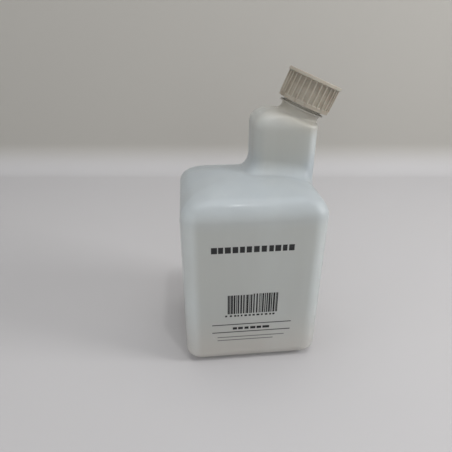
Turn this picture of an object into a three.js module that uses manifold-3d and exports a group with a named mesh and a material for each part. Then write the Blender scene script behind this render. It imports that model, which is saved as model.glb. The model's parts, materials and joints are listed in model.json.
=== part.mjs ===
// Oil dosing jug: a blow-moulded mixing bottle with an upright dosing chamber on its shoulder.
// The chamber ends in a short threaded neck that leans out to the right and carries a ribbed
// screw cap with a seal disc inside. Millimetres, +Z up, origin at the centre of the flat base,
// +X towards the pouring side and +Y towards the back.
import * as THREE from 'three';
import { mergeVertices } from 'three/addons/utils/BufferGeometryUtils.js';
import Module from 'manifold-3d';

const wasm = await Module();
wasm.setup();

// Body of the bottle
const BODY_WIDTH = 98;
const BODY_DEPTH = 85;
const BODY_HEIGHT = 132;
const BODY_CORNER = 9;
const HEEL_RADIUS = 10;
const SHOULDER_RADIUS = 14;
const SHOULDER_SWEEP = 74;
const SHOULDER_CORNER_GAIN = 2;
const WALL = 1.5;

// Dosing chamber that stands on the right half of the shoulder
const CHAMBER_WIDTH = 45;
const CHAMBER_DEPTH = 37;
const CHAMBER_FRONT = 0;
const CHAMBER_INSET = 0.2;
const CHAMBER_CORNER = 8;
const CHAMBER_FILLET = 10;
const FILLET_SWEEP = 80;
const FOOT_SINK = 0.5;
const ROOT_SINK = 4;
const CORNER_FLARE = 0.5;
const CHAMBER_WALL_TOP = 165.5;
const BACK_FLARE = 0.25;
const DOME_RADIUS = 11;
const DOME_HANDLE = 6.2;
const DOME_DIP = 0.8;
const DOME_RUN = 4;
const DOME_RUN_RISE = 1.2;
const NECK_BLEND_LEFT = 4.5;
const NECK_BLEND_RIGHT = 3;

// Neck, leaning to the right, with one thread and a bead below it
const NECK_LEAN = 23;
const NECK_RADIUS = 14;
const NECK_OVERHANG = -2.6;
const NECK_RISE = 27.8;
const NECK_LENGTH = 21;
const LIP_OPENING = 6;
const BEAD_RADIUS = 16.2;
const BEAD_HEIGHT = 1.8;
const BEAD_DROP = 17.2;
const THREAD_PITCH = 4;
const THREAD_TURNS = 1.5;
const THREAD_HEIGHT = 1.3;
const THREAD_START = 4.4;
const THREAD_ROOT = 1.9;
const THREAD_CREST = 0.8;
const THREAD_SINK = 0.5;

// Screw cap and its seal
const CAP_HEIGHT = 19.5;
const CAP_TOP = 2.2;
const CAP_SKIRT_RADIUS = 18.1;
const CAP_FLANGE_RADIUS = 19.4;
const CAP_BAND_RADIUS = 18.5;
const CAP_BAND_HEIGHT = 2.4;
const CAP_EDGE = 0.6;
const RIB_COUNT = 30;
const RIB_RADIUS = 0.75;
const RIB_SINK = 0.05;
const RIB_LAP = 0.3;
const CAP_RIM_DROP = 0.2;
const CAP_RIM_CHAMFER = 0.8;
const CAP_BAND_CHAMFER = 0.5;
const SEAL_THICKNESS = 1.2;
const SEAL_RADIUS = 15.4;
const SEAL_BEVEL = 0.2;

// Clearances between pieces
const SEAT_GAP = 0.3;
const THREAD_GAP = 0.4;

// Pinch-off channel across the base, with the weld fin that the mould leaves in it
const CHANNEL_WIDTH = 5;
const CHANNEL_DEPTH = 0.8;
const CHANNEL_LENGTH = 66;
const FIN_WIDTH = 0.9;
const FIN_HEIGHT = 0.5;

// Facets
const RING_POINTS = 48;
const LATHE_SEGMENTS = 60;
const RIB_SIDES = 6;
const THREAD_STEPS = 30;
const HEEL_STEPS = 5;
const SHOULDER_STEPS = 6;
const CROWN_STEPS = 5;
const FILLET_STEPS = 6;
const DOME_STEPS = 12;
const CORNER_SHARE = 0.62;

const lean = THREE.MathUtils.degToRad(NECK_LEAN);
const neckAxis = new THREE.Vector2(Math.sin(lean), Math.cos(lean));
const neckAcross = new THREE.Vector2(Math.cos(lean), -Math.sin(lean));

const chamberRight = BODY_WIDTH / 2;
const chamberLeft = chamberRight - CHAMBER_WIDTH;
const lipCentre = new THREE.Vector2(chamberRight + NECK_OVERHANG, CHAMBER_WALL_TOP + NECK_RISE);
const chamberBack = CHAMBER_FRONT + CHAMBER_DEPTH;
const partingY = (CHAMBER_FRONT + chamberBack) / 2;

// The shoulder rounds over until it is nearly level and runs on into the crown at that slope.
const shoulderSweep = THREE.MathUtils.degToRad(SHOULDER_SWEEP);
const shoulderStart = BODY_HEIGHT - SHOULDER_RADIUS;
const crownInset = SHOULDER_RADIUS * (1 - Math.cos(shoulderSweep));
const crownStart = shoulderStart + SHOULDER_RADIUS * Math.sin(shoulderSweep);
const crownReach = BODY_DEPTH / 2 - crownInset;
const crownRise = crownReach / Math.tan(shoulderSweep) / 2;

// Points round one quarter of a rounded rectangle, from the middle of the +x side to the middle
// of the +y side. The corner takes a fixed share of the points, so facets stay fine where it bends.
function quarterPoints(halfX, halfY, radius, count) {
  const corner = Math.min(radius, halfX, halfY);
  const sideY = halfY - corner;
  const sideX = halfX - corner;
  const arc = (Math.PI / 2) * corner;
  const perimeter = sideY + arc + sideX;
  const straightShare = 1 - CORNER_SHARE;
  const toArc = straightShare * sideY / perimeter;
  const toTop = straightShare * sideX / perimeter;
  const arcSpan = 1 - toArc - toTop;
  const points = [];
  for (let i = 0; i < count; i += 1) {
    const t = i / count;
    if (t < toArc) {
      points.push([halfX, sideY * t / toArc]);
    } else if (t <= toArc + arcSpan) {
      const angle = (Math.PI / 2) * (t - toArc) / arcSpan;
      points.push([sideX + corner * Math.cos(angle), sideY + corner * Math.sin(angle)]);
    } else {
      points.push([sideX * (1 - t) / toTop, halfY]);
    }
  }
  return points;
}

// One closed ring of the loft. A station names where the ring's left and right ends lie in the
// XZ plane, its front and back in Y and the radius of its corners, so a ring may lean.
function ringPoints(station) {
  const { left, right, front, back, corner } = station;
  const halfX = left.distanceTo(right) / 2;
  const halfY = (back - front) / 2;
  const centre = left.clone().add(right).multiplyScalar(0.5);
  const along = right.clone().sub(left).normalize();
  const quarter = quarterPoints(halfX, halfY, corner, RING_POINTS / 4);
  const turned = quarterPoints(halfY, halfX, corner, RING_POINTS / 4);
  const flat = [
    ...quarter,
    ...turned.map(([y, x]) => [-x, y]),
    ...quarter.map(([x, y]) => [-x, -y]),
    ...turned.map(([y, x]) => [x, -y]),
  ];
  const middleY = (front + back) / 2;
  return flat.map(([x, y]) => new THREE.Vector3(centre.x + along.x * x, middleY + y, centre.y + along.y * x));
}

// A closed skin over a row of stations, with a fan at each end.
function loftGeometry(stations) {
  const rings = stations.map((station) => (Array.isArray(station) ? station : ringPoints(station)));
  const vertices = rings.flat();
  const bottom = vertices.length;
  const average = (ring) => ring.reduce((sum, p) => sum.add(p), new THREE.Vector3()).divideScalar(ring.length);
  vertices.push(average(rings[0]), average(rings[rings.length - 1]));
  const index = [];
  const n = RING_POINTS;
  for (let k = 0; k + 1 < rings.length; k += 1) {
    for (let i = 0; i < n; i += 1) {
      const a = k * n + i;
      const b = k * n + (i + 1) % n;
      index.push(a, b, b + n, a, b + n, a + n);
    }
  }
  const last = (rings.length - 1) * n;
  for (let i = 0; i < n; i += 1) {
    const next = (i + 1) % n;
    index.push(bottom, next, i, bottom + 1, last + i, last + next);
  }
  const geometry = new THREE.BufferGeometry().setFromPoints(vertices);
  geometry.setIndex(index);
  return geometry;
}

// The same skin moved along its own normals: inwards for the cavity of a blown wall.
function offsetGeometry(geometry, distance) {
  const moved = geometry.clone();
  moved.computeVertexNormals();
  const position = moved.getAttribute('position');
  const normal = moved.getAttribute('normal');
  for (let i = 0; i < position.count; i += 1) {
    position.setXYZ(
      i,
      position.getX(i) + normal.getX(i) * distance,
      position.getY(i) + normal.getY(i) * distance,
      position.getZ(i) + normal.getZ(i) * distance,
    );
  }
  return moved;
}

function toSolid(geometry) {
  const bare = geometry.clone();
  bare.deleteAttribute('normal');
  bare.deleteAttribute('uv');
  const merged = mergeVertices(bare, 1e-4);
  return new wasm.Manifold(new wasm.Mesh({
    numProp: 3,
    vertProperties: new Float32Array(merged.getAttribute('position').array),
    triVerts: new Uint32Array(merged.getIndex().array),
  }));
}

function toGeometry(solid) {
  const mesh = solid.getMesh();
  const geometry = new THREE.BufferGeometry();
  geometry.setAttribute('position', new THREE.BufferAttribute(new Float32Array(mesh.vertProperties), 3));
  geometry.setIndex(new THREE.BufferAttribute(new Uint32Array(mesh.triVerts), 1));
  geometry.computeVertexNormals();
  return geometry;
}

// A level ring at one height, drawn in from the body's outline by an inset.
function bodyStation(inset, height, corner) {
  return {
    left: new THREE.Vector2(-BODY_WIDTH / 2 + inset, height),
    right: new THREE.Vector2(BODY_WIDTH / 2 - inset, height),
    front: -BODY_DEPTH / 2 + inset,
    back: BODY_DEPTH / 2 - inset,
    corner,
  };
}

// Height of the crown, from the end of the shoulder's rounding to the middle of the top.
function crownHeight(t) {
  return crownStart + crownRise * (1 - (1 - t) * (1 - t));
}

// Height of the body's upper skin over a point, from how far inside its outline the point lies.
function shoulderHeight(x, y) {
  const overX = Math.abs(x) - (BODY_WIDTH / 2 - BODY_CORNER);
  const overY = Math.abs(y) - (BODY_DEPTH / 2 - BODY_CORNER);
  const outward = Math.hypot(Math.max(overX, 0), Math.max(overY, 0)) + Math.min(Math.max(overX, overY), 0);
  const inside = Math.max(BODY_CORNER - outward, 0);
  if (inside < crownInset) {
    const run = SHOULDER_RADIUS - inside;
    return shoulderStart + Math.sqrt(SHOULDER_RADIUS * SHOULDER_RADIUS - run * run);
  }
  return crownHeight(Math.min((inside - crownInset) / crownReach, 1));
}

// Body: flat base, rounded heel, straight walls, rounded shoulder edge and a crowned top.
function bodyGeometry() {
  const stations = [];
  for (let i = 0; i <= HEEL_STEPS; i += 1) {
    const angle = (Math.PI / 2) * i / HEEL_STEPS;
    const inset = HEEL_RADIUS * (1 - Math.sin(angle));
    stations.push(bodyStation(inset, HEEL_RADIUS * (1 - Math.cos(angle)), BODY_CORNER));
  }
  for (let i = 0; i <= SHOULDER_STEPS; i += 1) {
    const angle = shoulderSweep * i / SHOULDER_STEPS;
    const inset = SHOULDER_RADIUS * (1 - Math.cos(angle));
    const corner = BODY_CORNER + SHOULDER_CORNER_GAIN * i / SHOULDER_STEPS;
    stations.push(bodyStation(inset, shoulderStart + SHOULDER_RADIUS * Math.sin(angle), corner));
  }
  for (let i = 1; i < CROWN_STEPS; i += 1) {
    const t = i / CROWN_STEPS;
    const corner = (BODY_CORNER + SHOULDER_CORNER_GAIN) * (1 - t) + SHOULDER_CORNER_GAIN * t;
    stations.push(bodyStation(crownInset + crownReach * t, crownHeight(t), corner));
  }
  return loftGeometry(stations);
}

// A level ring of the chamber. The flare widens it towards the shoulder: fully at the front and
// on the left, a little at the back, and not at all on the right, where it is flush with the body.
function chamberStation(height, flare) {
  return {
    left: new THREE.Vector2(chamberLeft - flare, height),
    right: new THREE.Vector2(chamberRight - CHAMBER_INSET, height),
    front: CHAMBER_FRONT - flare,
    back: chamberBack + flare * BACK_FLARE,
    corner: CHAMBER_CORNER + flare * CORNER_FLARE,
  };
}

// A ring of the fillet, which hugs the shoulder: each point stands a set height above the skin
// of the body below it.
function filletRing(flare, above) {
  return ringPoints(chamberStation(0, flare)).map((point) => (
    new THREE.Vector3(point.x, point.y, shoulderHeight(point.x, point.y) + above)
  ));
}

function neckPoint(drop) {
  return lipCentre.clone().addScaledVector(neckAxis, -drop);
}

// A round ring across the neck, measured down from the lip.
function neckStation(drop, radius) {
  const centre = neckPoint(drop);
  return {
    left: centre.clone().addScaledVector(neckAcross, -radius),
    right: centre.clone().addScaledVector(neckAcross, radius),
    front: partingY - radius,
    back: partingY + radius,
    corner: radius,
  };
}

// Chamber and neck in one skin: a fillet out of the shoulder, straight walls, a dome that rounds
// over on the left, front and back and runs on into the leaning neck on the right.
function chamberStations(withBead, reach) {
  const filletSweep = THREE.MathUtils.degToRad(FILLET_SWEEP);
  const footFlare = CHAMBER_FILLET * (1 - Math.cos(filletSweep));
  const stations = [chamberStation(shoulderStart - ROOT_SINK, footFlare)];
  for (let i = FILLET_STEPS; i >= 0; i -= 1) {
    const angle = filletSweep * i / FILLET_STEPS;
    const flare = CHAMBER_FILLET * (1 - Math.cos(angle));
    stations.push(filletRing(flare, CHAMBER_FILLET * (1 - Math.sin(angle)) - FOOT_SINK));
  }
  const root = neckStation(NECK_LENGTH, NECK_RADIUS);
  const wallTop = chamberStation(CHAMBER_WALL_TOP, 0);
  stations.push(wallTop);

  const edge = new THREE.Vector2(wallTop.left.x + DOME_RADIUS, wallTop.left.y + DOME_RADIUS);
  const leftRise = new THREE.CubicBezierCurve(
    wallTop.left,
    new THREE.Vector2(wallTop.left.x, wallTop.left.y + DOME_HANDLE),
    new THREE.Vector2(edge.x - DOME_HANDLE, edge.y - DOME_DIP),
    edge,
  );
  const leftRun = new THREE.CubicBezierCurve(
    edge,
    new THREE.Vector2(edge.x + DOME_RUN, edge.y + DOME_RUN_RISE),
    root.left.clone().addScaledVector(neckAxis, -NECK_BLEND_LEFT),
    root.left,
  );
  const rightRise = new THREE.CubicBezierCurve(
    wallTop.right,
    new THREE.Vector2(wallTop.right.x, wallTop.right.y + NECK_BLEND_RIGHT),
    root.right.clone().addScaledVector(neckAxis, -NECK_BLEND_RIGHT),
    root.right,
  );
  for (let i = 1; i < DOME_STEPS; i += 1) {
    const t = i / DOME_STEPS;
    const onEdge = t <= 0.5;
    const left = onEdge ? leftRise.getPoint(t * 2) : leftRun.getPoint(t * 2 - 1);
    const ease = t * t * (3 - 2 * t);
    stations.push({
      left,
      right: rightRise.getPoint(t),
      front: THREE.MathUtils.lerp(wallTop.front, root.front, ease),
      back: THREE.MathUtils.lerp(wallTop.back, root.back, ease),
      corner: THREE.MathUtils.lerp(CHAMBER_CORNER, NECK_RADIUS, ease),
    });
  }
  stations.push(root);
  if (withBead) {
    stations.push(
      neckStation(BEAD_DROP + BEAD_HEIGHT, NECK_RADIUS),
      neckStation(BEAD_DROP + BEAD_HEIGHT * 0.75, BEAD_RADIUS),
      neckStation(BEAD_DROP + BEAD_HEIGHT * 0.2, BEAD_RADIUS),
      neckStation(BEAD_DROP, NECK_RADIUS),
    );
  }
  stations.push(neckStation(-reach, NECK_RADIUS));
  return stations;
}

// A helical ridge on a cylinder about Z. Its section is a trapezoid whose root sinks into the
// wall that carries it, and both ends run out. A negative height makes an inside thread.
function threadGeometry(radius, height, start) {
  const side = Math.sign(height);
  const steps = Math.round(THREAD_STEPS * THREAD_TURNS);
  const vertices = [];
  for (let i = 0; i <= steps; i += 1) {
    const turn = THREAD_TURNS * i / steps;
    const angle = 2 * Math.PI * turn;
    const middle = start + THREAD_PITCH * turn;
    const runOut = Math.min(1, 0.25 + 4 * Math.min(i, steps - i) / THREAD_STEPS);
    const crest = radius + height * runOut;
    const rows = [
      [radius - side * THREAD_SINK, -THREAD_ROOT / 2],
      [crest, -THREAD_CREST / 2],
      [crest, THREAD_CREST / 2],
      [radius - side * THREAD_SINK, THREAD_ROOT / 2],
    ];
    for (const [r, z] of rows) {
      vertices.push(new THREE.Vector3(r * Math.cos(angle), r * Math.sin(angle), middle + z));
    }
  }
  const index = [];
  const quad = (a, b, c, d) => {
    if (side > 0) {
      index.push(a, b, c, a, c, d);
    } else {
      index.push(a, c, b, a, d, c);
    }
  };
  for (let i = 0; i < steps; i += 1) {
    for (let j = 0; j < 4; j += 1) {
      const k = (j + 1) % 4;
      quad(4 * i + j, 4 * i + 4 + j, 4 * i + 4 + k, 4 * i + k);
    }
  }
  quad(0, 1, 2, 3);
  quad(4 * steps + 3, 4 * steps + 2, 4 * steps + 1, 4 * steps);
  const geometry = new THREE.BufferGeometry().setFromPoints(vertices);
  geometry.setIndex(index);
  return geometry;
}

// Places something built about Z, with the lip at its zero height, on the leaning neck.
function neckMatrix() {
  const place = new THREE.Matrix4().makeRotationY(lean);
  place.setPosition(lipCentre.x, partingY, lipCentre.y);
  return place;
}

function bottleGeometry() {
  const body = bodyGeometry();
  const outside = toSolid(body).add(toSolid(loftGeometry(chamberStations(true, 0))));
  const thread = threadGeometry(NECK_RADIUS, THREAD_HEIGHT, -THREAD_START - THREAD_PITCH * THREAD_TURNS);
  thread.applyMatrix4(neckMatrix());

  const chamberCavity = offsetGeometry(loftGeometry(chamberStations(false, LIP_OPENING)), -WALL);
  const cavity = toSolid(offsetGeometry(body, -WALL)).add(toSolid(chamberCavity));

  const channel = new THREE.BoxGeometry(CHANNEL_LENGTH, CHANNEL_WIDTH, 2 * CHANNEL_DEPTH);
  channel.translate(0, partingY, 0);
  const fin = new THREE.BoxGeometry(CHANNEL_LENGTH - CHANNEL_WIDTH, FIN_WIDTH, 2 * FIN_HEIGHT);
  fin.translate(0, partingY, CHANNEL_DEPTH);

  return toGeometry(
    outside.add(toSolid(thread)).subtract(cavity).subtract(toSolid(channel)).add(toSolid(fin)),
  );
}

// Cap, built about Z with the neck's lip at zero height.
const capTop = SEAT_GAP + SEAL_THICKNESS + SEAT_GAP + CAP_TOP;
const capBottom = capTop - CAP_HEIGHT;
const capBore = NECK_RADIUS + THREAD_HEIGHT + THREAD_GAP;

function capGeometry() {
  const roof = capTop - CAP_TOP;
  const profile = [
    [0, capTop],
    [CAP_FLANGE_RADIUS - CAP_EDGE, capTop],
    [CAP_FLANGE_RADIUS - CAP_EDGE * 0.3, capTop - CAP_EDGE * 0.3],
    [CAP_FLANGE_RADIUS, capTop - CAP_EDGE],
    [CAP_FLANGE_RADIUS, roof + CAP_RIM_DROP],
    [CAP_SKIRT_RADIUS, roof + CAP_RIM_DROP - CAP_RIM_CHAMFER],
    [CAP_SKIRT_RADIUS, capBottom + CAP_BAND_HEIGHT + CAP_BAND_CHAMFER],
    [CAP_BAND_RADIUS, capBottom + CAP_BAND_HEIGHT],
    [CAP_BAND_RADIUS, capBottom],
    [capBore, capBottom],
    [capBore, roof],
    [0, roof],
  ].reverse().map(([r, z]) => new THREE.Vector2(r, z));
  const shell = new THREE.LatheGeometry(profile, LATHE_SEGMENTS);
  shell.rotateX(Math.PI / 2);
  let solid = toSolid(shell);

  const ribBottom = capBottom + CAP_BAND_HEIGHT - RIB_LAP;
  const ribLength = roof - ribBottom;
  for (let i = 0; i < RIB_COUNT; i += 1) {
    const angle = 2 * Math.PI * (i + 0.5) / RIB_COUNT;
    const rib = new THREE.CylinderGeometry(RIB_RADIUS, RIB_RADIUS, ribLength, RIB_SIDES);
    rib.rotateX(Math.PI / 2);
    const ring = CAP_SKIRT_RADIUS - RIB_SINK;
    rib.translate(ring * Math.cos(angle), ring * Math.sin(angle), ribBottom + ribLength / 2);
    solid = solid.add(toSolid(rib));
  }

  const thread = threadGeometry(
    capBore,
    -THREAD_HEIGHT,
    -THREAD_START - THREAD_PITCH * (THREAD_TURNS + 0.5),
  );
  return toGeometry(solid.add(toSolid(thread)));
}

function sealGeometry() {
  const low = SEAT_GAP;
  const high = SEAT_GAP + SEAL_THICKNESS;
  const profile = [
    [0, low],
    [SEAL_RADIUS - SEAL_BEVEL, low],
    [SEAL_RADIUS, low + SEAL_BEVEL],
    [SEAL_RADIUS, high - SEAL_BEVEL],
    [SEAL_RADIUS - SEAL_BEVEL, high],
    [0, high],
  ].map(([r, z]) => new THREE.Vector2(r, z));
  const disc = new THREE.LatheGeometry(profile, LATHE_SEGMENTS / 2);
  disc.rotateX(Math.PI / 2);
  return toGeometry(toSolid(disc));
}

const milkyPlastic = new THREE.MeshStandardMaterial({ color: 0xdfe3e2, roughness: 0.42, metalness: 0 });
const ivoryPlastic = new THREE.MeshStandardMaterial({ color: 0xe4ddcc, roughness: 0.5, metalness: 0 });
const foam = new THREE.MeshStandardMaterial({ color: 0xf2f0ea, roughness: 0.8, metalness: 0 });

const group = new THREE.Group();

const bottle = new THREE.Mesh(bottleGeometry(), milkyPlastic);
bottle.name = 'bottle';
group.add(bottle);

const closure = new THREE.Group();
closure.position.set(lipCentre.x, partingY, lipCentre.y);
closure.rotation.y = lean;
group.add(closure);

const cap = new THREE.Mesh(capGeometry(), ivoryPlastic);
cap.name = 'screw_cap';
closure.add(cap);

const seal = new THREE.Mesh(sealGeometry(), foam);
seal.name = 'cap_seal';
closure.add(seal);

export default group;
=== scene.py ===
import json
import logging
import math
import random
from dataclasses import dataclass, field
from enum import Enum
from functools import reduce
from typing import Any, Mapping, Sequence, Union

import bpy
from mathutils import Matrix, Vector

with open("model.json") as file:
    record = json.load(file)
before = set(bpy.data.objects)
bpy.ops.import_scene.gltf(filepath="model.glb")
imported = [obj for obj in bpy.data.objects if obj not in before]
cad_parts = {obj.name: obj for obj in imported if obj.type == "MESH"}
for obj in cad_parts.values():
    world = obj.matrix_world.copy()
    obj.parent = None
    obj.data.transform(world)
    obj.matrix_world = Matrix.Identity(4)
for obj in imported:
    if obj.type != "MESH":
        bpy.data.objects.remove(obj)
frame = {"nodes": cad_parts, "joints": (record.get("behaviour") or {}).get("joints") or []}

log = logging.getLogger("jug")

Colour = tuple[float, float, float]
Point = tuple[float, float, float]
Limits = tuple[float, float, float, float]

CAP_JOINT = "cap_turn"
CHANNELS = 3

# The screen curve that turns written colours into light.
SCREEN_WHITE = 255
TOE_LIMIT = 0.04045
TOE_SLOPE = 12.92
CURVE_OFFSET = 0.055
CURVE_POWER = 2.4

# Values of each finish's own sockets that are the same all over it.
WALL_SHADER: Mapping[str, Any] = {
    "IOR": 1.5,
    "Specular IOR Level": 0.3,
    "Transmission Weight": 0.5,
    "Subsurface Weight": 0.5,
    "Subsurface Radius": (1.0, 1.0, 1.0),
    "Subsurface Scale": 0.006,
    "Coat Weight": 0.12,
    "Coat Roughness": 0.10,
}
INK_SHADER: Mapping[str, Any] = {"Roughness": 0.38, "IOR": 1.5}
CAP_SHADER: Mapping[str, Any] = {
    "IOR": 1.5,
    "Subsurface Weight": 0.08,
    "Subsurface Scale": 0.002,
}
LINER_SHADER: Mapping[str, Any] = {"IOR": 1.45}
SWEEP_SHADER: Mapping[str, Any] = {"Roughness": 0.75, "IOR": 1.4}


def srgb(red: int, green: int, blue: int) -> Colour:
    """Turns a colour written as 0 to 255 screen values into linear light.

    Args:
        red: Screen value of red.
        green: Screen value of green.
        blue: Screen value of blue.

    Returns:
        The colour as three linear numbers.
    """

    def linear(value: int) -> float:
        """One channel from screen value to linear light."""
        share = value / SCREEN_WHITE
        if share <= TOE_LIMIT:
            return share / TOE_SLOPE
        return ((share + CURVE_OFFSET) / (1 + CURVE_OFFSET)) ** CURVE_POWER

    return (linear(red), linear(green), linear(blue))


class Axis(Enum):
    """A direction of the part's own frame."""

    X = "X"
    Y = "Y"
    Z = "Z"


@dataclass(frozen=True)
class Fade:
    """Where a mask's smooth rise starts and ends; a fall has its end below its start."""

    start: float
    end: float


@dataclass(frozen=True)
class Zone:
    """Two limits with a soft fade of this width at each."""

    low: float
    high: float
    soft: float


@dataclass(frozen=True)
class Tone:
    """A colour and how strongly it covers what lies under it."""

    colour: Colour
    strength: float


@dataclass(frozen=True)
class Cloud:
    """A cloudy noise: cells per metre, finer layers, their strength, and stretch by axis."""

    scale: float
    detail: float = 2.0
    roughness: float = 0.5
    stretch: Point = (1.0, 1.0, 1.0)


@dataclass(frozen=True)
class Stop:
    """One stop of a stepped ramp: from this place on, the mask has this value."""

    place: float
    value: float


Number = Union["Value", float, int]


class Value:
    """A number that varies over a surface; expressions on it add Math nodes."""

    def __init__(self, finish: "ShaderTree", socket: bpy.types.NodeSocket) -> None:
        """Wraps one output socket of a shader tree.

        Args:
            finish: The tree that the socket is in.
            socket: The output socket.
        """
        self.finish = finish
        self.socket = socket

    def _math(self, operation: str, *operands: Number) -> "Value":
        """Adds a Math node.

        Args:
            operation: Name of the Math node's operation.
            *operands: Its inputs in order, as values or plain numbers.

        Returns:
            The node's result.
        """
        inputs = dict(enumerate(operands))
        return self.finish.value("ShaderNodeMath", {"operation": operation}, inputs)

    def __add__(self, other: Number) -> "Value":
        """Sum."""
        return self._math("ADD", self, other)

    __radd__ = __add__

    def __mul__(self, other: Number) -> "Value":
        """Product."""
        return self._math("MULTIPLY", self, other)

    __rmul__ = __mul__

    def __sub__(self, other: Number) -> "Value":
        """Difference."""
        return self._math("SUBTRACT", self, other)

    def __rsub__(self, other: Number) -> "Value":
        """Difference with this value taken off."""
        return self._math("SUBTRACT", other, self)

    def __truediv__(self, other: Number) -> "Value":
        """Quotient."""
        return self._math("DIVIDE", self, other)

    def __rtruediv__(self, other: Number) -> "Value":
        """Quotient with this value as the divisor."""
        return self._math("DIVIDE", other, self)

    def __abs__(self) -> "Value":
        """Size without sign."""
        return self._math("ABSOLUTE", self)

    def root(self) -> "Value":
        """Square root, with anything below zero taken as zero."""
        return self._math("POWER", self.most(0.0), 0.5)

    def most(self, other: Number) -> "Value":
        """The larger of two values."""
        return self._math("MAXIMUM", self, other)

    def fade(self, fade: Fade) -> "Value":
        """A smooth rise from 0 to 1.

        Args:
            fade: Where it starts and ends.

        Returns:
            The eased share, kept from 0 to 1.
        """
        settings = {"interpolation_type": "SMOOTHSTEP"}
        inputs = {"Value": self, "From Min": fade.start, "From Max": fade.end}
        return self.finish.value("ShaderNodeMapRange", settings, inputs, "Result")

    def within(self, zone: Zone) -> "Value":
        """A mask that is 1 between two limits.

        Args:
            zone: The limits.

        Returns:
            The mask.
        """
        half = zone.soft / 2
        rise = self.fade(Fade(zone.low - half, zone.low + half))
        return rise * self.fade(Fade(zone.high + half, zone.high - half))


@dataclass(frozen=True)
class NeckLine:
    """The leaning line that the neck, the cap and the liner share."""

    lip: Point
    direction: Point

    @classmethod
    def read(cls) -> "NeckLine":
        """Reads the line from the joint that the cap turns on.

        Returns:
            The middle of the neck's lip and the line's direction.
        """
        turn = next(joint for joint in frame["joints"] if joint["name"] == CAP_JOINT)
        return cls(tuple(Vector(turn["pos_m"])), tuple(Vector(turn["axis"]).normalized()))


class Graph:
    """A node tree, with one way to add nodes to it."""

    def __init__(self, tree: bpy.types.NodeTree) -> None:
        """Wraps a node tree.

        Args:
            tree: The node tree.
        """
        self.tree = tree

    def _link(self, source: Any, socket: bpy.types.NodeSocket) -> None:
        """Feeds a socket from a Value, an output socket, a colour or a plain value.

        Args:
            source: What feeds it.
            socket: The input socket.
        """
        if isinstance(source, Value):
            self.tree.links.new(source.socket, socket)
        elif isinstance(source, bpy.types.NodeSocket):
            self.tree.links.new(source, socket)
        elif socket.type == "RGBA" and len(source) == CHANNELS:
            socket.default_value = (*source, 1.0)
        else:
            socket.default_value = source

    def node(
        self,
        kind: str,
        settings: Mapping[str, Any],
        inputs: Mapping[Union[str, int], Any],
    ) -> bpy.types.Node:
        """Adds one node.

        Args:
            kind: Blender's name of the node's type.
            settings: Properties of the node, set before its sockets. The key "stops" holds
                the stops of a stepped ramp.
            inputs: Socket name or number to a plain value, a Value or an output socket.

        Returns:
            The new node.
        """
        made = self.tree.nodes.new(kind)
        for name, value in settings.items():
            if name == "stops":
                self._set_stops(made.color_ramp, value)
            else:
                setattr(made, name, value)
        for name, value in inputs.items():
            self._link(value, made.inputs[name])
        return made

    @staticmethod
    def _set_stops(ramp: bpy.types.ColorRamp, stops: Sequence[Stop]) -> None:
        """Fills a ramp with hard steps.

        Args:
            ramp: The ramp.
            stops: Its stops in order.
        """
        ramp.interpolation = "CONSTANT"
        while len(ramp.elements) > 1:
            ramp.elements.remove(ramp.elements[-1])
        for number, stop in enumerate(stops):
            element = ramp.elements[0] if number == 0 else ramp.elements.new(stop.place)
            element.position = stop.place
            element.color = (stop.value, stop.value, stop.value, 1.0)


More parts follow.
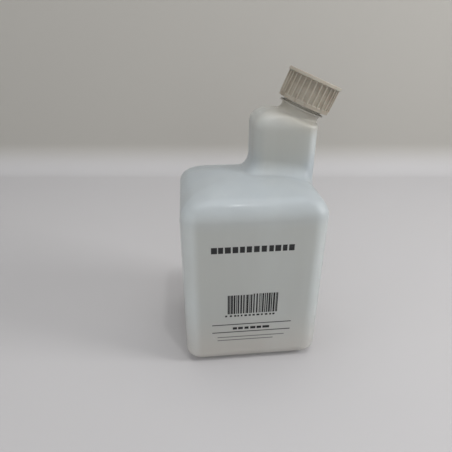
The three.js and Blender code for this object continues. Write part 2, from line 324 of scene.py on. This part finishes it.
class ShaderTree(Graph):
    """A material with one Principled shader, and short ways to add nodes to it."""

    def __init__(self, name: str, constants: Mapping[str, Any]) -> None:
        """Makes the material.

        Args:
            name: Name of the material.
            constants: Values of the shader's own sockets that don't vary.
        """
        self.material = bpy.data.materials.new(name)
        self.material.use_nodes = True
        super().__init__(self.material.node_tree)
        self.tree.nodes.clear()
        self.output = self.node("ShaderNodeOutputMaterial", {}, {})
        self.shader = self.node("ShaderNodeBsdfPrincipled", {}, constants)
        self._link(self.shader.outputs["BSDF"], self.output.inputs["Surface"])
        coordinates = self.node("ShaderNodeTexCoord", {}, {})
        self.place = coordinates.outputs["Object"]
        split = self.node("ShaderNodeSeparateXYZ", {}, {"Vector": self.place})
        self.axes = {axis: Value(self, split.outputs[axis.value]) for axis in Axis}

    def value(
        self,
        kind: str,
        settings: Mapping[str, Any],
        inputs: Mapping[Union[str, int], Any],
        output: Union[str, int] = 0,
    ) -> Value:
        """Adds a node and wraps one of its outputs.

        Args:
            kind: Blender's name of the node's type.
            settings: Properties of the node.
            inputs: Its sockets' values or links.
            output: Name or number of the wanted output.

        Returns:
            The wrapped output.
        """
        return Value(self, self.node(kind, settings, inputs).outputs[output])

    def vector(self, operation: str, *operands: Any) -> bpy.types.Node:
        """Adds a Vector Math node.

        Args:
            operation: Name of its operation.
            *operands: Its inputs in order.

        Returns:
            The node.
        """
        inputs = dict(enumerate(operands))
        return self.node("ShaderNodeVectorMath", {"operation": operation}, inputs)

    def along(self, line: NeckLine) -> Value:
        """Distance from the lip along the neck's line, below zero under the lip.

        Args:
            line: The neck's line.

        Returns:
            The distance in metres.
        """
        offset = self.vector("SUBTRACT", self.place, line.lip).outputs["Vector"]
        return Value(self, self.vector("DOT_PRODUCT", offset, line.direction).outputs["Value"])

    def around(self, line: NeckLine) -> Value:
        """Distance from the neck's line.

        Args:
            line: The neck's line.

        Returns:
            The distance in metres.
        """
        offset = self.vector("SUBTRACT", self.place, line.lip).outputs["Vector"]
        length = Value(self, self.vector("LENGTH", offset).outputs["Value"])
        along = self.along(line)
        return (length * length - along * along).root()

    def steps(self, share: Value, stops: Sequence[Stop]) -> Value:
        """A mask with hard steps.

        Args:
            share: The way along the steps, from 0 to 1.
            stops: The steps.

        Returns:
            The mask.
        """
        return self.value("ShaderNodeValToRGB", {"stops": stops}, {"Fac": share}, "Color")

    def noise(self, cloud: Cloud) -> Value:
        """Cloudy noise in the part's own frame.

        Args:
            cloud: Its scale and layers.

        Returns:
            The noise, from 0 to 1.
        """
        inputs = {
            "Vector": self.vector("MULTIPLY", self.place, cloud.stretch).outputs["Vector"],
            "Scale": cloud.scale,
            "Detail": cloud.detail,
            "Roughness": cloud.roughness,
        }
        return self.value("ShaderNodeTexNoise", {}, inputs, "Fac")

    def mix(self, share: Number, first: Any, second: Any) -> bpy.types.NodeSocket:
        """Blends two colours.

        Args:
            share: How much of the second colour shows.
            first: A colour or a colour socket.
            second: A colour or a colour socket.

        Returns:
            The blended colour's socket.
        """
        made = self.node("ShaderNodeMix", {"data_type": "RGBA"}, {0: share})
        colours = {socket.name: socket for socket in made.inputs if socket.type == "RGBA"}
        self._link(first, colours["A"])
        self._link(second, colours["B"])
        return next(socket for socket in made.outputs if socket.type == "RGBA")

    def tint(self, base: Any, mask: Value, tone: Tone) -> bpy.types.NodeSocket:
        """Lays a tone over a colour.

        Args:
            base: The colour or colour socket that lies under it.
            mask: Where the tone lies.
            tone: The tone.

        Returns:
            The new colour's socket.
        """
        return self.mix(mask * tone.strength, base, tone.colour)

    def feed(self, socket: str, source: Any) -> None:
        """Links a value or a colour to one of the shader's sockets.

        Args:
            socket: Name of the shader's socket.
            source: The value or the colour socket.
        """
        self._link(source, self.shader.inputs[socket])

    def overlay(self, share: Value, constants: Mapping[str, Any]) -> None:
        """Lays a second shader over the first one.

        Args:
            share: How much of the second shader shows.
            constants: Values and links of the second shader's sockets.
        """
        second = self.node("ShaderNodeBsdfPrincipled", {}, constants)
        shaders = {0: share, 1: self.shader.outputs["BSDF"], 2: second.outputs["BSDF"]}
        blend = self.node("ShaderNodeMixShader", {}, shaders)
        self._link(blend.outputs["Shader"], self.output.inputs["Surface"])

    def bump(self, height: Value, depth: float) -> None:
        """Feeds a height to the shader's normal.

        Args:
            height: Height from 0 to 1.
            depth: Depth in metres that a height of 1 stands for.
        """
        inputs = {"Strength": 1.0, "Distance": depth, "Height": height}
        self.feed("Normal", self.node("ShaderNodeBump", {}, inputs).outputs["Normal"])


@dataclass(frozen=True)
class BarRow:
    """A row of dark bars of uneven width in a rectangle, in metres.

    The limits are left, right, low and high. A gap is a share of its bar's pitch, and uneven
    says how far a pitch may differ from the mean one.
    """

    limits: Limits
    count: int
    least_gap: float
    most_gap: float
    uneven: float

    def stops(self, seed: int) -> list[Stop]:
        """Places the bars over a share from 0 to 1.

        Args:
            seed: Seed of the draw.

        Returns:
            The stops, dark and bare in turn.
        """
        draw = random.Random(seed * self.count)
        pitches = [draw.uniform(1 - self.uneven, 1 + self.uneven) for _ in range(self.count)]
        stops: list[Stop] = []
        start = 0.0
        for pitch in pitches:
            gap = pitch * draw.uniform(self.least_gap, self.most_gap)
            stops.append(Stop(start / sum(pitches), 1.0))
            stops.append(Stop((start + pitch - gap) / sum(pitches), 0.0))
            start += pitch
        return stops


@dataclass(frozen=True)
class FrontPrint:
    """The dark print on the front, as plain bars, stripes and rules, in metres."""

    ink: Colour = srgb(10, 10, 12)
    worn_ink: Colour = srgb(38, 39, 42)
    rubbing: Cloud = Cloud(900.0, 2.0, 0.6)
    rubbed: Fade = Fade(0.60, 0.70)
    front_face: Fade = Fade(-0.0411, -0.0415)
    rows: tuple[BarRow, ...] = (
        BarRow((-0.0298, 0.0267, 0.0966, 0.1013), 12, 0.12, 0.30, 0.12),
        BarRow((-0.0188, -0.0008, 0.0458, 0.0622), 12, 0.15, 0.45, 0.6),
        BarRow((-0.0006, 0.0175, 0.0458, 0.0628), 13, 0.2, 0.55, 0.65),
        BarRow((-0.0206, 0.0165, 0.0432, 0.0447), 13, 0.3, 0.6, 0.2),
        BarRow((-0.0150, 0.0125, 0.0312, 0.0334), 6, 0.1, 0.3, 0.25),
    )
    rules: tuple[Limits, ...] = (
        (-0.0300, 0.0277, 0.03570, 0.03645),
        (-0.0300, 0.0274, 0.02865, 0.02940),
    )
    fine_rules: tuple[Limits, ...] = (
        (-0.0262, 0.0232, 0.0240, 0.0247),
        (-0.0262, 0.0150, 0.0211, 0.0218),
    )
    fine_strength: float = 0.75
    edge: float = 0.00022
    seed: int = 11

    def _patch(self, tree: ShaderTree, limits: Limits) -> Value:
        """A rectangle on the front.

        Args:
            tree: The material it goes in.
            limits: Left, right, low and high edge in metres.

        Returns:
            Its mask.
        """
        left, right, low, high = limits
        across = tree.axes[Axis.X].within(Zone(left, right, self.edge))
        return across * tree.axes[Axis.Z].within(Zone(low, high, self.edge))

    def mask(self, tree: ShaderTree) -> Value:
        """The whole print.

        Args:
            tree: The material it goes in.

        Returns:
            A mask that is 1 where ink lies.
        """
        layers: list[Value] = []
        for row in self.rows:
            left, right = row.limits[:2]
            share = (tree.axes[Axis.X] - left) / (right - left)
            bars = tree.steps(share, row.stops(self.seed))
            layers.append(self._patch(tree, row.limits) * bars)
        layers += [self._patch(tree, limits) for limits in self.rules]
        layers += [self._patch(tree, limits) * self.fine_strength for limits in self.fine_rules]
        return reduce(Value.most, layers) * tree.axes[Axis.Y].fade(self.front_face)

    def colour(self, tree: ShaderTree) -> bpy.types.NodeSocket:
        """The ink's colour, paler where it is rubbed.

        Args:
            tree: The material it goes in.

        Returns:
            The colour's socket.
        """
        return tree.mix(tree.noise(self.rubbing).fade(self.rubbed), self.ink, self.worn_ink)


@dataclass(frozen=True)
class WallTones:
    """The broad tones of the blown wall, painted light, shade and reflection among them, and
    where each lies, in metres of the part's frame.
    """

    front: Colour = srgb(206, 208, 204)
    lit: Colour = srgb(236, 241, 240)
    # painted light: the side walls and the rounded corners below the shoulder are paler than
    # the front and back faces
    edge: Tone = Tone(lit, 0.8)
    body: Fade = Fade(0.136, 0.118)
    side: Fade = Fade(0.037, 0.043)
    inner_depth: Fade = Fade(0.0395, 0.0345)
    # painted light: the chamber above the body is paler, and a painted highlight runs along its
    # right side
    above_body: Fade = Fade(0.128, 0.140)
    chamber_side: Fade = Fade(0.0415, 0.045)
    chamber_side_light_strength: float = 0.7
    chamber_light_strength: float = 0.25
    # painted reflection: a cool, pale tint on the shoulder's upper face
    top: Tone = Tone(srgb(203, 214, 223), 0.6)
    top_rise: Fade = Fade(0.110, 0.132)
    top_fall: Fade = Fade(0.154, 0.138)
    # painted shade: the middle of the chamber's front face is greyer than its lit sides
    panel: Tone = Tone(srgb(190, 190, 182), 0.65)
    panel_across: Zone = Zone(0.0075, 0.0415, 0.010)
    panel_up: Zone = Zone(0.138, 0.169, 0.014)
    panel_depth: Fade = Fade(0.0185, 0.0085)
    foot: Tone = Tone(srgb(222, 214, 205), 0.7)
    foot_rise: Fade = Fade(0.050, 0.0)
    warm: Colour = srgb(218, 215, 207)
    # painted light: lighter and warmer towards the chamber's crown and the neck, where light
    # falls from above
    dome: Tone = Tone(warm, 0.5)
    dome_rise: Fade = Fade(0.150, 0.185)
    neck: Tone = Tone(srgb(208, 201, 186), 0.8)
    neck_rise: Fade = Fade(-0.034, -0.020)
    mottle: Tone = Tone(warm, 0.35)
    mottle_floor: float = 0.35
    streak: Tone = Tone(lit, 0.5)
    streak_floor: float = 0.45
    streaks: Cloud = Cloud(60.0, 2.0, 0.5, (1.0, 1.0, 0.12))

    def colour(self, tree: ShaderTree, line: NeckLine, cloud: Value) -> bpy.types.NodeSocket:
        """Lays the tones over each other.

        Args:
            tree: The material they go in.
            line: The neck's line.
            cloud: The wall's slow change of thickness.

        Returns:
            The colour's socket.
        """
        across, depth, height = (tree.axes[axis] for axis in Axis)
        # painted light on the side walls and corners below the shoulder
        painted_edge_light = abs(across).fade(self.side).most(abs(depth).fade(self.inner_depth))
        colour = tree.tint(self.front, painted_edge_light * height.fade(self.body), self.edge)
        # painted light and painted highlight on the chamber, strongest along its right side
        pale = across.fade(self.chamber_side) * self.chamber_side_light_strength
        pale = height.fade(self.above_body) * (pale + self.chamber_light_strength)
        colour = tree.mix(pale, colour, self.lit)
        # painted reflection on the shoulder's upper face
        top = height.fade(self.top_rise) * height.fade(self.top_fall)
        colour = tree.tint(colour, top, self.top)
        # painted shade on the middle of the chamber's front face
        panel = across.within(self.panel_across) * height.within(self.panel_up)
        colour = tree.tint(colour, panel * depth.fade(self.panel_depth), self.panel)
        colour = tree.tint(colour, height.fade(self.foot_rise), self.foot)
        # painted light towards the chamber's crown and the neck
        colour = tree.tint(colour, height.fade(self.dome_rise), self.dome)
        colour = tree.tint(colour, tree.along(line).fade(self.neck_rise), self.neck)
        colour = tree.tint(colour, cloud - self.mottle_floor, self.mottle)
        streaks = (tree.noise(self.streaks) - self.streak_floor).most(0.0)
        return tree.tint(colour, streaks, self.streak)


@dataclass(frozen=True)
class WallWear:
    """The seam of the blow mould, scratches on the wall and scuffing on the heel."""

    scuff: Colour = srgb(236, 237, 234)
    parting: float = 0.0185
    seam_edge: Fade = Fade(0.0007, 0.0001)
    seam_strength: float = 0.4
    scratches: Cloud = Cloud(240.0, 4.0, 0.7, (1.0, 1.0, 0.25))
    scratch_edge: Fade = Fade(0.66, 0.74)
    scratch_fields: Cloud = Cloud(35.0, 1.0)
    scratch_field_edge: Fade = Fade(0.5, 0.62)
    scratch_strength: float = 0.45
    heel: Fade = Fade(0.006, 0.0015)
    heel_grit: Cloud = Cloud(500.0, 2.0)
    heel_grit_edge: Fade = Fade(0.45, 0.6)
    heel_strength: float = 0.6

    def seam(self, tree: ShaderTree) -> Value:
        """The mask of the mould's parting line.

        Args:
            tree: The material it goes in.

        Returns:
            The mask.
        """
        return abs(tree.axes[Axis.Y] - self.parting).fade(self.seam_edge)

    def worn(self, tree: ShaderTree) -> Value:
        """The mask of scratched and scuffed places.

        Args:
            tree: The material it goes in.

        Returns:
            The mask.
        """
        fields = tree.noise(self.scratch_fields).fade(self.scratch_field_edge)
        scratched = tree.noise(self.scratches).fade(self.scratch_edge) * fields
        grit = tree.noise(self.heel_grit).fade(self.heel_grit_edge)
        scuffed = tree.axes[Axis.Z].fade(self.heel) * grit
        return (scratched * self.scratch_strength).most(scuffed * self.heel_strength)


@dataclass(frozen=True)
class MilkyWall:
    """Natural polyethylene as it is blown: milky, satin and a little see-through."""

    tones: WallTones = field(default_factory=WallTones)
    wear: WallWear = field(default_factory=WallWear)
    print_layout: FrontPrint = field(default_factory=FrontPrint)
    thickness: Cloud = Cloud(22.0, 3.0, 0.55)
    satin: float = 0.42
    satin_by_thickness: float = 0.10
    satin_by_wear: float = 0.2
    waves: Cloud = Cloud(38.0, 1.0, 0.4)
    grain: Cloud = Cloud(1500.0, 2.0)
    grain_height: float = 0.05
    seam_height: float = 0.25
    ink_height: float = 0.04
    relief: float = 0.0006

    def material(self, line: NeckLine) -> bpy.types.Material:
        """Makes the finish.

        Args:
            line: The neck's line.

        Returns:
            The material.
        """
        tree = ShaderTree("milky_wall", WALL_SHADER)
        cloud = tree.noise(self.thickness)
        seam = self.wear.seam(tree)
        worn = self.wear.worn(tree)
        colour = self.tones.colour(tree, line, cloud)
        colour = tree.tint(colour, seam, Tone(self.wear.scuff, self.wear.seam_strength))
        tree.feed("Base Color", tree.mix(worn, colour, self.wear.scuff))

        ink = self.print_layout.mask(tree)
        tree.overlay(ink, {"Base Color": self.print_layout.colour(tree), **INK_SHADER})

        rough = self.satin + cloud * self.satin_by_thickness + worn * self.satin_by_wear
        tree.feed("Roughness", rough)
        relief = tree.noise(self.waves) + tree.noise(self.grain) * self.grain_height
        relief = relief + seam * self.seam_height + ink * self.ink_height
        tree.bump(relief, self.relief)
        return tree.material


@dataclass(frozen=True)
class IvoryMoulding:
    """Ivory moulded plastic of the cap, with painted shade and dirt between its ribs, a painted
    shadow under its rim and a painted highlight on its crests.
    """

    plain: Colour = srgb(147, 139, 124)
    pale: Colour = srgb(178, 171, 158)
    # dark colour for dirt, grime and specks, and for painted shade and shadow
    dust_and_shade: Colour = srgb(108, 98, 83)
    clouds: Cloud = Cloud(70.0, 3.0, 0.6)
    cloud_strength: float = 0.6
    specks: Cloud = Cloud(600.0, 3.0, 0.7)
    speck_edge: Fade = Fade(0.62, 0.75)
    speck_strength: float = 0.25
    # painted shade between the ribs, mottled by dirt specks
    groove: Fade = Fade(0.0188, 0.0181)
    groove_shade_strength: float = 0.18
    groove_specks: float = 0.28
    under_rim: Zone = Zone(-0.0045, 0.0012, 0.003)
    under_rim_strength: float = 0.45
    skirt: Fade = Fade(0.0025, 0.0005)
    grime: Cloud = Cloud(190.0, 2.0, 0.5, (1.0, 1.0, 0.22))
    grime_edge: Fade = Fade(0.52, 0.66)
    grime_strength: float = 0.45
    # painted highlight: the crests of the ribs and the rim are paler
    crest: Fade = Fade(0.0186, 0.0189)
    crest_highlight_strength: float = 0.5
    satin: float = 0.42
    satin_by_cloud: float = 0.15
    satin_by_crest: float = 0.08
    ripples: Cloud = Cloud(180.0, 2.0)
    ripple_height: float = 0.7
    speck_height: float = 0.3
    relief: float = 0.00012

    def material(self, line: NeckLine) -> bpy.types.Material:
        """Makes the finish.

        Args:
            line: The line that the cap turns on.

        Returns:
            The material.
        """
        tree = ShaderTree("ivory_moulding", CAP_SHADER)
        along = tree.along(line)
        radius = tree.around(line)
        cloud = tree.noise(self.clouds)
        speck = tree.noise(self.specks)
        groove = radius.fade(self.groove)
        skirt = along.fade(self.skirt)
        crest = radius.fade(self.crest)

        colour = tree.mix(cloud * self.cloud_strength, self.plain, self.pale)
        # painted shade between the ribs on the skirt, mixed with dirt specks
        groove_shade_and_dust = speck * self.groove_specks + self.groove_shade_strength
        colour = tree.mix(groove * skirt * groove_shade_and_dust, colour, self.dust_and_shade)
        shadow = along.within(self.under_rim) * groove
        colour = tree.mix(shadow * self.under_rim_strength, colour, self.dust_and_shade)
        grime = tree.noise(self.grime).fade(self.grime_edge) * skirt
        colour = tree.mix(grime * self.grime_strength, colour, self.dust_and_shade)
        specks = speck.fade(self.speck_edge)
        colour = tree.mix(specks * self.speck_strength, colour, self.dust_and_shade)
        # painted highlight on the crests of the ribs and the rim
        colour = tree.mix(crest * cloud * self.crest_highlight_strength, colour, self.pale)
        tree.feed("Base Color", colour)

        rough = self.satin + cloud * self.satin_by_cloud - crest * self.satin_by_crest
        tree.feed("Roughness", rough)
        ripples = tree.noise(self.ripples) * self.ripple_height
        tree.bump(speck * self.speck_height + ripples, self.relief)
        return tree.material


@dataclass(frozen=True)
class FoamLiner:
    """White foamed liner of the cap, stained in soft patches."""

    plain: Colour = srgb(226, 224, 217)
    stained: Colour = srgb(196, 190, 174)
    stains: Cloud = Cloud(120.0, 2.0, 0.5)
    stain_edge: Fade = Fade(0.45, 0.7)
    stain_strength: float = 0.7
    cells: Cloud = Cloud(2500.0, 3.0, 0.6)
    matt: float = 0.75
    matt_by_cell: float = 0.2
    relief: float = 0.00015

    def material(self) -> bpy.types.Material:
        """Makes the finish.

        Returns:
            The material.
        """
        tree = ShaderTree("foam_liner", LINER_SHADER)
        cells = tree.noise(self.cells)
        stain = tree.noise(self.stains).fade(self.stain_edge) * self.stain_strength
        tree.feed("Base Color", tree.mix(stain, self.plain, self.stained))
        tree.feed("Roughness", self.matt + cells * self.matt_by_cell)
        tree.bump(cells, self.relief)
        return tree.material


@dataclass(frozen=True)
class Facets:
    """Shades a CAD node smooth across its facets, by modifiers alone."""

    weld: float = 1e-6
    crease: float = math.radians(34.0)

    def group(self) -> bpy.types.GeometryNodeTree:
        """Makes the node group that joins the facets and marks the sharp edges.

        Returns:
            The geometry node group.
        """
        tree = bpy.data.node_groups.new("facet_shading", "GeometryNodeTree")
        for way in ("INPUT", "OUTPUT"):
            tree.interface.new_socket("Geometry", in_out=way, socket_type="NodeSocketGeometry")
        graph = Graph(tree)
        source = graph.node("NodeGroupInput", {}, {})
        inputs = {"Geometry": source.outputs["Geometry"], "Distance": self.weld}
        weld = graph.node("GeometryNodeMergeByDistance", {}, inputs)
        angle = graph.node("GeometryNodeInputMeshEdgeAngle", {}, {})
        inputs = {"A": angle.outputs["Unsigned Angle"], "B": self.crease}
        sharp = graph.node("FunctionNodeCompare", {"operation": "GREATER_THAN"}, inputs)
        inputs = {
            "Mesh": weld.outputs["Geometry"],
            "Remove Custom": True,
            "Edge Sharpness": sharp.outputs["Result"],
        }
        normals = graph.node("GeometryNodeSetMeshNormal", {"mode": "SHARPNESS"}, inputs)
        graph.node("NodeGroupOutput", {}, {"Geometry": normals.outputs["Mesh"]})
        return tree

    def smooth(self, piece: bpy.types.Object) -> None:
        """Adds the modifiers to a node.

        Args:
            piece: The CAD node's object.
        """
        piece.modifiers.new("facets", "NODES").node_group = self.group()
        weighted = piece.modifiers.new("weighted", "WEIGHTED_NORMAL")
        weighted.keep_sharp = True
        weighted.mode = "FACE_AREA_WITH_ANGLE"


def dress(node: str, material: bpy.types.Material) -> None:
    """Gives a CAD node its finish and reports it.

    Args:
        node: Name of the CAD node.
        material: The finish.
    """
    piece = frame["nodes"][node]
    piece.data.materials.clear()
    piece.data.materials.append(material)
    Facets().smooth(piece)
    log.info("dressed %s with %s", node, material.name)


@dataclass
class Bottle:
    """The blown bottle: body, dosing chamber and neck in one wall."""

    node: str = "bottle"
    finish: MilkyWall = field(default_factory=MilkyWall)

    def build(self) -> None:
        """Dresses the bottle."""
        dress(self.node, self.finish.material(NeckLine.read()))


@dataclass
class Closure:
    """The screw cap and the liner inside it."""

    cap_node: str = "screw_cap"
    liner_node: str = "cap_seal"
    cap_finish: IvoryMoulding = field(default_factory=IvoryMoulding)
    liner_finish: FoamLiner = field(default_factory=FoamLiner)

    def build(self) -> None:
        """Dresses the cap about its own axis, and the liner."""
        dress(self.cap_node, self.cap_finish.material(NeckLine.read()))
        dress(self.liner_node, self.liner_finish.material())


@dataclass(frozen=True)
class Lamp:
    """One soft square lamp that faces a point."""

    name: str
    place: Point
    aim: Point
    power: float
    width: float

    def make(self) -> None:
        """Adds the lamp to the scene."""
        data = bpy.data.lights.new(self.name, "AREA")
        data.energy = self.power
        data.size = self.width
        lamp = bpy.data.objects.new(self.name, data)
        lamp.location = self.place
        gaze = Vector(self.aim) - Vector(self.place)
        lamp.rotation_euler = gaze.to_track_quat("-Z", "Y").to_euler()
        bpy.context.scene.collection.objects.link(lamp)
        log.info("lamp %s", self.name)


@dataclass
class Studio:
    """Camera, pale floor, backdrop and soft light."""

    eye: Point = (-0.0414, -0.2652, 0.2350)
    gaze: Point = (0.0847, 0.8805, -0.4664)
    lens: float = 32.0
    sensor: float = 36.0
    floor_colour: Colour = srgb(184, 182, 183)
    wall_colour: Colour = srgb(170, 167, 161)
    floor_clouds: Cloud = Cloud(9.0, 4.0)
    floor_cloud_strength: float = 0.1
    world_colour: Colour = srgb(200, 203, 206)
    world_strength: float = 0.74
    floor_reach: float = 2.5
    wall_place: float = 0.345
    bend: float = 0.045
    bend_steps: int = 12
    turn: float = math.radians(-5.46)
    lamps: tuple[Lamp, ...] = (
        Lamp("key", (0.15, 0.15, 1.30), (0.0, 0.0, 0.08), 5.2, 1.1),
        Lamp("spark", (0.10, -0.30, 1.00), (0.0, 0.0, 0.12), 1.0, 0.05),
        Lamp("front", (-0.15, -1.10, 0.45), (0.0, 0.0, 0.1), 3.2, 0.9),
        Lamp("left", (-0.9, -0.3, 0.5), (0.0, 0.0, 0.1), 1.4, 0.8),
        Lamp("back", (-0.10, 0.30, 0.85), (0.0, 0.0, 0.10), 0.9, 0.5),
        Lamp("right", (0.75, -0.25, 0.55), (0.0, 0.0, 0.12), 4.0, 0.25),
    )

    def camera(self) -> None:
        """Places the camera at the photograph's viewing angle."""
        data = bpy.data.cameras.new("camera")
        data.lens = self.lens
        data.sensor_width = self.sensor
        camera = bpy.data.objects.new("camera", data)
        camera.location = self.eye
        camera.rotation_euler = Vector(self.gaze).to_track_quat("-Z", "Y").to_euler()
        bpy.context.scene.collection.objects.link(camera)
        bpy.context.scene.camera = camera

    def _profile(self) -> list[tuple[float, float]]:
        """Draws the side view of floor, bend and wall.

        Returns:
            Its points as distance back and height.
        """
        profile = [(-self.floor_reach, 0.0)]
        for number in range(self.bend_steps + 1):
            angle = math.pi / 2 * number / self.bend_steps
            back = self.wall_place + self.bend * math.sin(angle)
            profile.append((back, self.bend * (1 - math.cos(angle))))
        profile.append((self.wall_place + self.bend, self.floor_reach))
        return profile

    def sweep(self) -> None:
        """Makes the floor and the backdrop as one curved sheet."""
        profile = self._profile()
        corners = [(side * self.floor_reach, y, z) for y, z in profile for side in (-1, 1)]
        faces = [(2 * k, 2 * k + 1, 2 * k + 3, 2 * k + 2) for k in range(len(profile) - 1)]
        mesh = bpy.data.meshes.new("sweep")
        mesh.from_pydata(corners, [], faces)
        mesh.polygons.foreach_set("use_smooth", [True] * len(faces))
        sheet = bpy.data.objects.new("sweep", mesh)
        sheet.rotation_euler = (0.0, 0.0, self.turn)
        bpy.context.scene.collection.objects.link(sheet)
        tree = ShaderTree("sweep", SWEEP_SHADER)
        rise = tree.axes[Axis.Z].fade(Fade(0.0, self.bend))
        colour = tree.mix(rise, self.floor_colour, self.wall_colour)
        patches = Tone(self.wall_colour, self.floor_cloud_strength)
        tree.feed("Base Color", tree.tint(colour, tree.noise(self.floor_clouds), patches))
        mesh.materials.append(tree.material)

    def light(self) -> None:
        """Sets the world and the lamps."""
        world = bpy.data.worlds.new("studio")
        world.use_nodes = True
        sky = world.node_tree.nodes["Background"]
        sky.inputs["Color"].default_value = (*self.world_colour, 1.0)
        sky.inputs["Strength"].default_value = self.world_strength
        bpy.context.scene.world = world
        for lamp in self.lamps:
            lamp.make()

    def build(self) -> None:
        """Makes the whole studio."""
        self.camera()
        self.sweep()
        self.light()
        bpy.context.scene.view_settings.view_transform = "Standard"


def main() -> None:
    """Builds the studio and dresses each sub-assembly."""
    logging.basicConfig(level=logging.INFO, format="%(name)s: %(message)s")
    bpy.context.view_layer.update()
    for assembly in (Studio(), Bottle(), Closure()):
        assembly.build()


if __name__ == "__main__":
    main()
